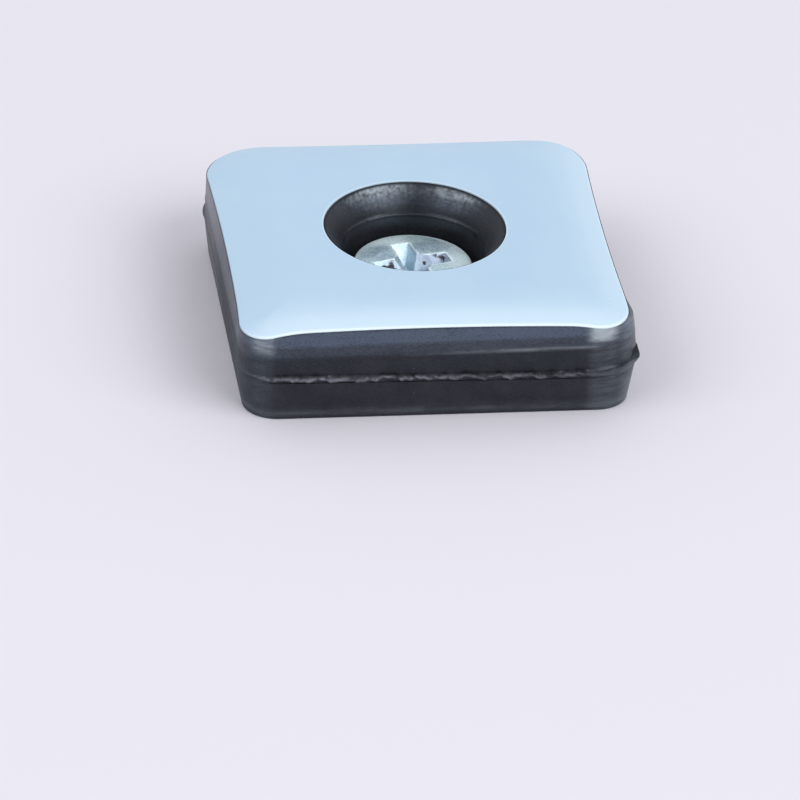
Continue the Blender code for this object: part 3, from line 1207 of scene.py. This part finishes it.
@dataclass(frozen=True)
class TornNibs:
    """Crumbs of rubber left standing along the parting line."""

    base: MouldedBase
    spacing: float = 0.27
    nib_radius: float = 0.06
    nib_length: float = 0.1
    nib_lift: float = 0.03
    nib_tip: float = 0.3
    nib_sides: int = 5
    reach: float = 0.5
    kept: float = 0.35
    least_frayed: float = 0.6
    least_sway: Triple = (-6.0, -6.0, -1.0)
    most_sway: Triple = (6.0, 6.0, 12.0)
    least_growth: Triple = (0.3, 0.3, 0.3)
    most_growth: Triple = (1.7, 1.2, 1.2)
    paleness: float = 0.4
    seed: int = 4

    def build(self, finish: bpy.types.Material) -> None:
        """Scatters the nibs with Geometry Nodes and ties them to the frame.

        Args:
            finish: the rubber.
        """
        line = self.base.flash_line(self.reach, False) + (0.0, 0.0, self.nib_lift)
        ragged, count = self.base.frayed(line) > self.least_frayed, len(line)
        mesh = bpy.data.meshes.new("flash_nibs")
        mesh.from_pydata(line * MM, [(i, (i + 1) % count) for i in range(count) if ragged[i]], [])
        piece = add_piece("flash_nibs", mesh)
        sizes = {
            "Spacing": self.spacing * MM,
            "Nib Radius": self.nib_radius * MM,
            "Nib Length": self.nib_length * MM,
            "Share Kept": self.kept,
        }
        shaper = Shaper("torn_nibs", sizes)
        curve = shaper.add("GeometryNodeMeshToCurve", None, {0: shaper.source})
        points = shaper.add(
            "GeometryNodeCurveToPoints",
            {"mode": "LENGTH"},
            {"Curve": curve, "Length": shaper.size("Spacing")},
        )
        kept = shaper.add(
            "FunctionNodeRandomValue",
            {"data_type": "BOOLEAN"},
            {"Probability": shaper.size("Share Kept"), "Seed": self.seed},
            out=3,
        )
        nib = shaper.add(
            "GeometryNodeMeshCone",
            None,
            {
                "Vertices": self.nib_sides,
                "Radius Top": shaper.size("Nib Radius") * self.nib_tip,
                "Radius Bottom": shaper.size("Nib Radius"),
                "Depth": shaper.size("Nib Length"),
            },
        )
        x, y, _ = shaper.axes()
        out = shaper.vector(x, y, 0.0)
        ends = (tuple(part * MM for part in end) for end in (self.least_sway, self.most_sway))
        sway = shaper.random_vector(*ends, self.seed + 1)
        lean = shaper.add("ShaderNodeVectorMath", {"operation": "ADD"}, {0: out, 1: sway})
        turn = shaper.add("FunctionNodeAlignRotationToVector", {"axis": "Z"}, {"Vector": lean})
        grow = shaper.random_vector(self.least_growth, self.most_growth, self.seed + 2)
        copies = shaper.add(
            "GeometryNodeInstanceOnPoints",
            None,
            {"Points": points, "Selection": kept, "Instance": nib, "Rotation": turn, "Scale": grow},
        )
        shaper.shape(piece, copies, finish)
        mark(piece.data, Mask.TORN, np.full(len(piece.data.vertices), self.paleness))
        for mask in (Mask.BLOOM, Mask.SHEEN, Mask.GLOSS, Mask.MATT):
            mark(piece.data, mask, np.zeros(len(piece.data.vertices)))
        settle(piece, Body.GLIDE, Slot.RUBBER)


@dataclass(frozen=True)
class PaintedLightBorder:
    """Painted highlight along the facing's edge: its width, and how pale it is around, in front and
    right.
    """

    width: float
    around: float
    front: float
    right: float


@dataclass(frozen=True)
class Facing:
    """PTFE facing: a punched sheet, rolled down along its four sides."""

    face: SlidingFace
    edge_radius: float = 0.14
    hole_edge: float = 0.06
    margin: float = 1.6
    # Painted highlight along the edge: a narrow line and a wider band, paler at the front and
    # right.
    painted_light_borders: tuple[PaintedLightBorder, ...] = (
        PaintedLightBorder(0.11, 0.15, 0.6, 0.3),
        PaintedLightBorder(2.1, 0.04, 0.4, 0.22),
    )
    # Painted highlight round the hole.
    hole_highlight: float = 0.35
    hole_inset: float = 6.0
    top_insets: tuple[float, float] = (0.2, 5.0)
    hole_steps: int = 3
    top_steps: int = 24
    margin_steps: int = 10
    edge_steps: int = 5
    under_steps: int = 7
    crisp: float = 50.0

    def blank_rings(self) -> tuple[list[Ring], list[np.ndarray]]:
        """The punched sheet before its sides are rolled, from its hole out and back under.

        Returns:
            The rings, and how pale each of their points is.
        """
        top, foot = self.face.height, self.face.height - self.face.thickness
        hole, edge = self.face.hole(self.face.hole_radius), self.face.outline(0.0).points()
        rings = [raised(hole, foot)]
        for sine, cosine in arc(self.hole_steps):
            flat = self.face.hole(self.face.hole_radius + self.hole_edge * (1.0 - cosine))
            rings.append(raised(flat, top - self.hole_edge * (1.0 - sine)))
        pale = [np.full(len(hole), self.hole_highlight) for _ in rings]
        inner = self.face.hole(self.face.hole_radius + 2.0 * self.hole_edge)
        rings.append(raised(inner, top))
        pale.append(self.paleness(self.hole_inset))
        outer = self.face.outline(self.margin).points()
        near, far = self.top_insets
        for share in shares(self.top_steps)[1:]:
            rings.append(raised(inner + (outer - inner) * share, top))
            pale.append(self.paleness(self.margin + far + (near - far) * share))
        run = self.edge_radius - self.margin
        border = [(self.margin + run * sine, 0.0) for sine, _ in arc(self.margin_steps)[1:]]
        for sine, cosine in arc(self.edge_steps)[1:]:
            border.append((self.edge_radius * (1.0 - sine), self.edge_radius * (1.0 - cosine)))
        for inset, drop in border:
            rings.append(raised(self.face.outline(inset).points(), top - drop))
            pale.append(self.paleness(inset))
        for share in shares(self.under_steps)[:-1]:
            rings.append(raised(edge + (hole - edge) * share, foot))
            pale.append(self.paleness(0.0))
        return rings, pale

    def paleness(self, inset: float) -> np.ndarray:
        """How pale the sheet is painted this far in from its edge: a highlight, most at its front
        and right.
        """
        normal = outward(self.face.outline(0.0).points())
        front, right = np.maximum(-normal[:, 1], 0.0) ** 2, np.maximum(normal[:, 0], 0.0) ** 2
        pale = np.zeros(len(normal))
        for border in self.painted_light_borders:
            strength = border.around + border.front * front + border.right * right
            pale += strength * Hump(0.0, border.width).at(inset)
        return pale

    def build(self, finish: bpy.types.Material) -> None:
        """Rolls the sheet with Geometry Nodes and ties it to the frame.

        Args:
            finish: the PTFE.
        """
        rings, pale = self.blank_rings()
        mesh = lofted("ptfe_facing_sheet", rings)
        mark(mesh, Mask.EDGE, np.concatenate(pale))
        piece = add_piece("ptfe_facing_sheet", mesh)
        sizes = {
            "Half Width": self.face.half * MM,
            "Roll Width": self.face.roll_width * MM,
            "Roll Drop": self.face.roll_drop * MM,
        }
        shaper = Shaper("rolled_sides", sizes)
        x, y, _ = shaper.axes()
        flat = shaper.size("Half Width") - shaper.size("Roll Width")
        past_x = (abs(x) - flat).at_least(0.0) / shaper.size("Roll Width")
        past_y = (abs(y) - flat).at_least(0.0) / shaper.size("Roll Width")
        across, along = past_x * past_x, past_y * past_y
        both = across * along * x.rise(0.0, MM) * y.rise(0.0, MM)
        drop = (across + along - both) * shaper.size("Roll Drop")
        rolled = shaper.add(
            "GeometryNodeSetPosition",
            None,
            {"Geometry": shaper.source, "Offset": shaper.vector(0.0, 0.0, 0.0 - drop)},
        )
        shaper.shape(piece, rolled, finish)
        smooth(piece.data, self.crisp)
        settle(piece, Body.GLIDE, Slot.FACING, "ptfe_facing")


@dataclass(frozen=True)
class PlainWasher:
    """Steel washer in the bottom of the bore, punched with one rounded face."""

    inner: float = 2.2
    outer: float = 4.25
    foot: float = 1.65
    thickness: float = 0.8
    round_edge: float = 0.2
    hole_edge: float = 0.1
    foot_edge: float = 0.05
    hole_steps: int = 3
    edge_steps: int = 5
    facets: int = 128
    crisp: float = 40.0

    def build(self, finish: bpy.types.Material) -> None:
        """Makes the washer and ties it to the frame.

        Args:
            finish: the zinc plate.
        """
        top, low = self.foot + self.thickness, self.foot + self.foot_edge
        profile = [(self.inner, low), (self.inner, top - self.hole_edge)]
        for sine, cosine in arc(self.hole_steps):
            inner = self.inner + self.hole_edge * (1.0 - cosine)
            profile.append((inner, top - self.hole_edge * (1.0 - sine)))
        for sine, cosine in arc(self.edge_steps):
            outer = self.outer - self.round_edge * (1.0 - sine)
            profile.append((outer, top - self.round_edge * (1.0 - cosine)))
        profile += [(self.outer, low), (self.outer - self.foot_edge, self.foot)]
        profile.append((self.inner + self.foot_edge, self.foot))
        mesh = turned("steel_washer", profile, self.facets, True)
        mesh.materials.append(finish)
        smooth(mesh, self.crisp)
        settle(add_piece("steel_washer", mesh), Body.WASHER, Slot.ZINC, "washer")


@dataclass(frozen=True)
class FixingScrew:
    """Pan-head screw with a cross recess and a coarse right-hand thread.

    The shank is wound from a grid of one by one, whose first row is drawn in to the axis.
    """

    bearing: float = 2.5
    length: float = 16.0
    point: float = 4.0
    crest_radius: float = 2.0
    root_radius: float = 1.42
    pitch: float = 1.4
    ridge_share: float = 0.62
    neck: float = 1.0
    plain_neck: float = 0.6
    point_thread: float = 1.35
    overlap: float = 0.05
    first_row: tuple[float, float] = (-0.5, -0.4999)
    merged: float = 0.0005
    head_radius: float = 3.75
    head_height: float = 1.75
    crown: float = 0.1
    edge_radius: float = 0.14
    foot_edge: float = 0.12
    cross_span: float = 4.95
    cross_slot: float = 1.25
    cross_depth: float = 1.62
    plug_rise: float = 1.0
    valley_reach: float = 1.7
    valley_depth: float = 1.25
    valley_floor: float = 0.4
    fillet: float = 0.4
    joined: float = 0.06
    worn_edge: float = 0.045
    worn_steps: int = 2
    worn_angle: float = 30.0
    turn: float = math.radians(13.0)
    crown_steps: int = 12
    edge_steps: int = 6
    facets: int = 96
    around: int = 72
    along: int = 260
    head_crisp: float = 35.0
    thread_crisp: float = 40.0

    @property
    def top(self) -> float:
        """Height of the middle of the crown."""
        return self.bearing + self.head_height

    def head_profile(self) -> Profile:
        """Head from the middle of its crown out, down and back under to the axis."""
        flat = self.head_radius - self.edge_radius
        profile = []
        for share in shares(self.crown_steps)[:-1]:
            profile.append((flat * share, self.top - self.crown * share**2))
        for sine, cosine in arc(self.edge_steps):
            drop = self.crown + self.edge_radius * (1.0 - cosine)
            profile.append((flat + self.edge_radius * sine, self.top - drop))
        profile.append((self.head_radius, self.bearing + self.foot_edge))
        profile.append((self.head_radius - self.foot_edge, self.bearing))
        profile.append((0.0, self.bearing))
        return profile

    def cross_plug(self) -> bpy.types.Object:
        """Four-winged plug that sinks the cross recess: each wing is a groove with a sloped end."""
        wing, slot, floor = self.cross_span / 2, self.cross_slot / 2, self.valley_floor / 2
        core = slot + self.fillet
        work = bmesh.new()
        rims: list[list[bmesh.types.BMVert]] = [[], []]
        valleys: list[bmesh.types.BMVert] = []
        for quarter in range(4):
            turn = Matrix.Rotation(quarter * math.pi / 2 + self.turn, 3, "Z")
            for rim, height in zip(rims, (self.top + self.plug_rise, self.top)):
                for x, y in ((core, -slot), (wing, -slot), (wing, slot), (core, slot)):
                    rim.append(work.verts.new(turn @ Vector((x, y, height)) * MM))
            for y in (-floor, floor):
                valley = Vector((self.valley_reach, y, self.top - self.valley_depth))
                valleys.append(work.verts.new(turn @ valley * MM))
        pit = work.verts.new(Vector((0.0, 0.0, self.top - self.cross_depth)) * MM)
        upper, lower = rims
        work.faces.new(upper)
        for index in range(len(upper)):
            after = (index + 1) % len(upper)
            work.faces.new((upper[index], upper[after], lower[after], lower[index]))
        for quarter in range(4):
            near, right, left, far = lower[4 * quarter : 4 * quarter + 4]
            after = lower[(4 * quarter + 4) % len(lower)]
            first, second = valleys[2 * quarter : 2 * quarter + 2]
            for face in ((right, left, second, first), (near, right, first), (left, far, second)):
                work.faces.new(face)
            for pair in ((near, first), (first, second), (second, far), (far, after)):
                work.faces.new((*pair, pit))
        return add_piece("cross_plug", finish_work(work, bpy.data.meshes.new("cross_plug")))

    def build_head(self, finish: bpy.types.Material) -> None:
        """Makes the head and ties it to the frame.

        Args:
            finish: the zinc plate.
        """
        mesh = turned("screw_head", self.head_profile(), self.facets, False)
        head = add_piece("screw_head", mesh)
        plug = self.cross_plug()
        cut = head.modifiers.new("recess", "BOOLEAN")
        cut.operation = "DIFFERENCE"
        cut.solver = "EXACT"
        cut.object = plug
        join = head.modifiers.new("joined_points", "WELD")
        join.merge_threshold = self.joined * MM
        wear_and_highlight = head.modifiers.new("worn_edges", "BEVEL")
        wear_and_highlight.width = self.worn_edge * MM
        wear_and_highlight.segments = self.worn_steps
        wear_and_highlight.limit_method = "ANGLE"
        wear_and_highlight.angle_limit = math.radians(self.worn_angle)
        bake(head)
        bpy.data.objects.remove(plug)
        HeadWearAndLight(self).mark_mesh(head.data)
        head.data.materials.clear()
        head.data.materials.append(finish)
        smooth(head.data, self.head_crisp)
        settle(head, Body.SCREW, Slot.ZINC, "screw")

    def build_thread(self, finish: bpy.types.Material) -> None:
        """Winds the shank and its thread with Geometry Nodes and ties it to the frame.

        Args:
            finish: the zinc plate.
        """
        shank = add_piece("screw_thread", bpy.data.meshes.new("screw_thread"))
        sizes = {
            "Bearing": (self.bearing + self.overlap) * MM,
            "Length": (self.length + self.overlap) * MM,
            "Point": self.point * MM,
            "Neck": (self.neck + self.overlap) * MM,
            "Root Radius": self.root_radius * MM,
            "Thread Depth": (self.crest_radius - self.root_radius) * MM,
            "Pitch": self.pitch * MM,
            "Ridge Share": self.ridge_share,
            "Start Angle": self.turn,
        }
        shaper = Shaper("wound_thread", sizes)
        grid = shaper.add(
            "GeometryNodeMeshGrid",
            None,
            {"Vertices X": self.around + 1, "Vertices Y": self.along},
            out="Mesh",
        )
        x, y, _ = shaper.axes()
        neck = shaper.size("Neck")
        turn = (x + 0.5) * (2.0 * math.pi)
        drop = (y + 0.5) * shaper.size("Length")
        wave = (0.0 - drop / shaper.size("Pitch") - x).fraction()
        ridge = (1.0 - abs(wave * 2.0 - 1.0) / shaper.size("Ridge Share")).at_least(0.0)
        taper = ((shaper.size("Length") - drop) / shaper.size("Point")).at_most(1.0)
        begun = (drop - neck * self.plain_neck) / (neck * (1.0 - self.plain_neck))
        begun = begun.at_least(0.0).at_most(1.0)
        lift = ridge * begun * (taper * self.point_thread).at_most(1.0)
        inside = y.rise(*self.first_row)
        radius = (shaper.size("Root Radius") * taper + shaper.size("Thread Depth") * lift) * inside
        angle = turn + shaper.size("Start Angle")
        place = shaper.vector(
            radius * angle.cosine(), radius * angle.sine(), shaper.size("Bearing") - drop
        )
        wound = shaper.add("GeometryNodeSetPosition", None, {"Geometry": grid, "Position": place})
        closed = shaper.add(
            "GeometryNodeMergeByDistance", None, {"Geometry": wound, "Distance": self.merged * MM}
        )
        shaper.shape(shank, closed, finish)
        smooth(shank.data, self.thread_crisp)
        settle(shank, Body.SCREW, Slot.ZINC, "screw")


@dataclass(frozen=True)
class HeadWearAndLight:
    """Painted highlights, wear, tarnish, grime and painted shade of the screw's head, as marks for
    its finish.

    Sides are measured along X or Y from the axis, and the rim from the head's edge. The least wall
    is an area, and tarnish gives the recess's right walls first.
    """

    screw: FixingScrew
    # Painted highlight round the rim, at the back left and at the right; round the cross partly
    # wear.
    rim: Ramp = Ramp(-0.3, -0.1, 0.9)
    cross_wear_and_highlight: float = 0.7
    cross_margin: float = 0.1
    cross_sink: float = 0.08
    left_highlight: Ramp = Ramp(-0.6, 0.4)
    left_highlight_back: Ramp = Ramp(1.9, 2.6, 0.9)
    right_highlight: Ramp = Ramp(1.6, 2.8, 0.7)
    least_wall: float = 0.045
    level: float = 0.99
    sunk_wear: float = 0.2
    sunk_right: float = 0.4
    tarnish: tuple[float, float] = (1.0, 0.3)
    # Grime and painted shade in the wings of the cross, darker with depth.
    grime_and_shade_left: float = -0.7
    grime_and_shade_end: float = -2.1
    grime_and_shade_back: float = 0.6
    end_grime_and_shade: float = 0.4
    left_grime_and_shade: float = 0.48
    deep_grime_and_shade: float = 1.5
    right_grime_and_shade: float = 0.445

    def bright(self, points: np.ndarray) -> np.ndarray:
        """How bright each point is: painted highlight at the rim, back left and right, and wear
        with painted highlight round the cross.
        """
        x, y, z = points.T
        rim = self.rim.at(np.hypot(x, y) - self.screw.head_radius)
        sine, cosine = math.sin(self.screw.turn), math.cos(self.screw.turn)
        along = np.abs(points[:, :2] @ np.array([[cosine, -sine], [sine, cosine]]))
        near = along.max(axis=1) < self.screw.cross_span / 2 + self.cross_margin
        near &= along.min(axis=1) < self.screw.cross_slot / 2 + self.cross_margin
        cross = near & (z > self.screw.top - self.screw.crown - self.cross_sink)
        left = self.left_highlight.at(-x) * self.left_highlight_back.at(y)
        return rim + self.cross_wear_and_highlight * cross + left + self.right_highlight.at(x)

    def is_sunk(self, face: bpy.types.MeshPolygon) -> bool:
        """Whether a face is a wall of the cross recess, and not one of its worn edges."""
        inside = face.center.xy.length / MM < self.screw.cross_span / 2
        wide = face.area / MM**2 > self.least_wall
        steep = face.normal.z < self.level
        return inside and wide and steep and face.center.z / MM > self.screw.bearing

    def mark_mesh(self, mesh: bpy.types.Mesh) -> None:
        """Writes every mark on the corners of the head's faces."""
        points = np.empty(3 * len(mesh.vertices))
        mesh.vertices.foreach_get("co", points)
        corner = np.empty(len(mesh.loops), np.int32)
        mesh.loops.foreach_get("vertex_index", corner)
        points = points.reshape(-1, 3)[corner] / MM
        sunk = np.array([self.is_sunk(face) for face in mesh.polygons])
        sunk = np.repeat(sunk, [face.loop_total for face in mesh.polygons])
        x, y, z = points.T
        # Grime and painted shade, most in the left wing and deeper down.
        right = x > self.sunk_right
        deep = self.left_grime_and_shade + self.deep_grime_and_shade * (self.screw.top - z)
        grime_and_shade = np.where(x < self.grime_and_shade_end, self.end_grime_and_shade, deep)
        grime_and_shade = (x < self.grime_and_shade_left) * (y < self.grime_and_shade_back) * grime_and_shade + self.right_grime_and_shade * right
        wear_and_highlight = self.bright(points) * np.where(sunk, self.sunk_wear, 1.0)
        mark(mesh, Mask.EDGE, wear_and_highlight, "CORNER")
        mark(mesh, Mask.TORN, sunk * grime_and_shade, "CORNER")
        mark(mesh, Mask.BLOOM, sunk * np.where(right, *self.tarnish), "CORNER")


def heading(azimuth: float, elevation: float) -> Vector:
    """Unit vector at an azimuth from the front and an elevation, both in degrees."""
    side, lift = math.radians(azimuth), math.radians(elevation)
    level = math.cos(lift)
    return Vector((math.sin(side) * level, -math.cos(side) * level, math.sin(lift)))


@dataclass(frozen=True)
class Lamp:
    """One soft box, aimed at the glide."""

    name: str
    azimuth: float
    elevation: float
    distance: float
    width: float
    depth: float
    power: float

    def build(self, aim: Vector) -> None:
        """Hangs the lamp."""
        light = bpy.data.lights.new(self.name, "AREA")
        light.shape = "RECTANGLE"
        light.size, light.size_y = self.width * MM, self.depth * MM
        light.energy = self.power
        lamp = bpy.data.objects.new(self.name, light)
        out = heading(self.azimuth, self.elevation)
        lamp.location = aim + out * self.distance * MM
        lamp.rotation_euler = out.to_track_quat("Z", "Y").to_euler()
        bpy.context.scene.collection.objects.link(lamp)


@dataclass(frozen=True)
class Studio:
    """Pale floor, soft boxes, plain surroundings and the camera."""

    aim: Triple = (0.0, 0.0, 5.5)
    aim_pixel: tuple[float, float] = (413.75, 243.81)
    picture_width: float = 800.0
    focal_pixels: float = 8693.0
    pixels_per_mm: float = 15.881
    yaw: float = -8.45
    elevation: float = 29.67
    roll: float = 2.54
    sensor: float = 36.0
    clip: tuple[float, float] = (10.0, 10000.0)
    floor_half: float = 1500.0
    pale: Colour = (0.799, 0.791, 0.871)
    horizon: tuple[float, float] = (0.0, 0.08)
    room_back: Colour = (0.92, 0.92, 0.94)
    room_front: Colour = (0.28, 0.28, 0.29)
    room_turn: tuple[float, float] = (-0.4, 0.5)
    lamps: tuple[Lamp, ...] = (
        Lamp("left_box", -64.0, 40.0, 1300.0, 1100.0, 850.0, 6.0),
        Lamp("right_box", 44.0, 40.0, 1300.0, 1200.0, 900.0, 11.4),
    )

    def build(self) -> None:
        """Sets the stage."""
        self.lay_floor()
        self.light()
        self.place_camera()

    def lay_floor(self) -> None:
        """Lays the floor level with the glide's underside."""
        reach = self.floor_half * MM
        mesh = bpy.data.meshes.new("floor")
        corners = [(-reach, -reach, 0), (reach, -reach, 0), (reach, reach, 0), (-reach, reach, 0)]
        mesh.from_pydata(corners, [], [(0, 1, 2, 3)])
        mesh.materials.append(FloorFinish().make())
        add_piece("floor", mesh)

    def light(self) -> None:
        """Hangs the lamps and sets the surroundings."""
        for lamp in self.lamps:
            lamp.build(Vector(self.aim) * MM)
        world = bpy.data.worlds.new("studio")
        world.use_nodes = True
        bpy.context.scene.world = world
        sheet = Sheet(world.node_tree)
        way = sheet.add("ShaderNodeTexCoord", out="Generated")
        ahead = sheet.add("ShaderNodeSeparateXYZ", None, {0: way}, out="Y")
        room = sheet.mix(ahead.rise(*self.room_turn), self.room_front, self.room_back)
        colour = sheet.mix(ahead.other("Z").rise(*self.horizon), self.pale, room)
        background = sheet.add("ShaderNodeBackground", None, {"Color": colour})
        sheet.add("ShaderNodeOutputWorld", None, {"Surface": background})

    def place_camera(self) -> None:
        """Puts the camera where the aim point falls on its pixel."""
        back, roll = heading(self.yaw, self.elevation), math.radians(self.roll)
        level = (-back).cross(Vector((0.0, 0.0, 1.0))).normalized()
        upright = level.cross(-back)
        right = level * math.cos(roll) + upright * math.sin(roll)
        up = upright * math.cos(roll) - level * math.sin(roll)
        data = bpy.data.cameras.new("camera")
        data.sensor_width = self.sensor
        data.lens = self.focal_pixels * self.sensor / self.picture_width
        data.clip_start, data.clip_end = (reach * MM for reach in self.clip)
        camera = bpy.data.objects.new("camera", data)
        middle = self.picture_width / 2
        across = (self.aim_pixel[0] - middle) / self.pixels_per_mm
        above = (middle - self.aim_pixel[1]) / self.pixels_per_mm
        distance = self.focal_pixels / self.pixels_per_mm
        place = Vector(self.aim) + back * distance - right * across - up * above
        basis = Matrix((right, up, back)).transposed().to_4x4()
        camera.matrix_world = Matrix.Translation(place * MM) @ basis
        bpy.context.scene.collection.objects.link(camera)
        bpy.context.scene.camera = camera


def main() -> None:
    """Builds the glide round its frame, and the studio round the glide."""
    logging.basicConfig(level=logging.INFO, format="%(name)s %(message)s")
    bpy.context.scene.view_settings.view_transform = "Standard"
    Studio().build()
    rubber, ptfe, zinc = RubberFinish().make(), FacingFinish().make(), ZincFinish().make()
    face = SlidingFace()
    base = MouldedBase(face)
    base.build(rubber)
    TornNibs(base).build(rubber)
    Facing(face).build(ptfe)
    PlainWasher().build(zinc)
    screw = FixingScrew()
    screw.build_head(zinc)
    screw.build_thread(zinc)


if __name__ == "__main__":
    main()
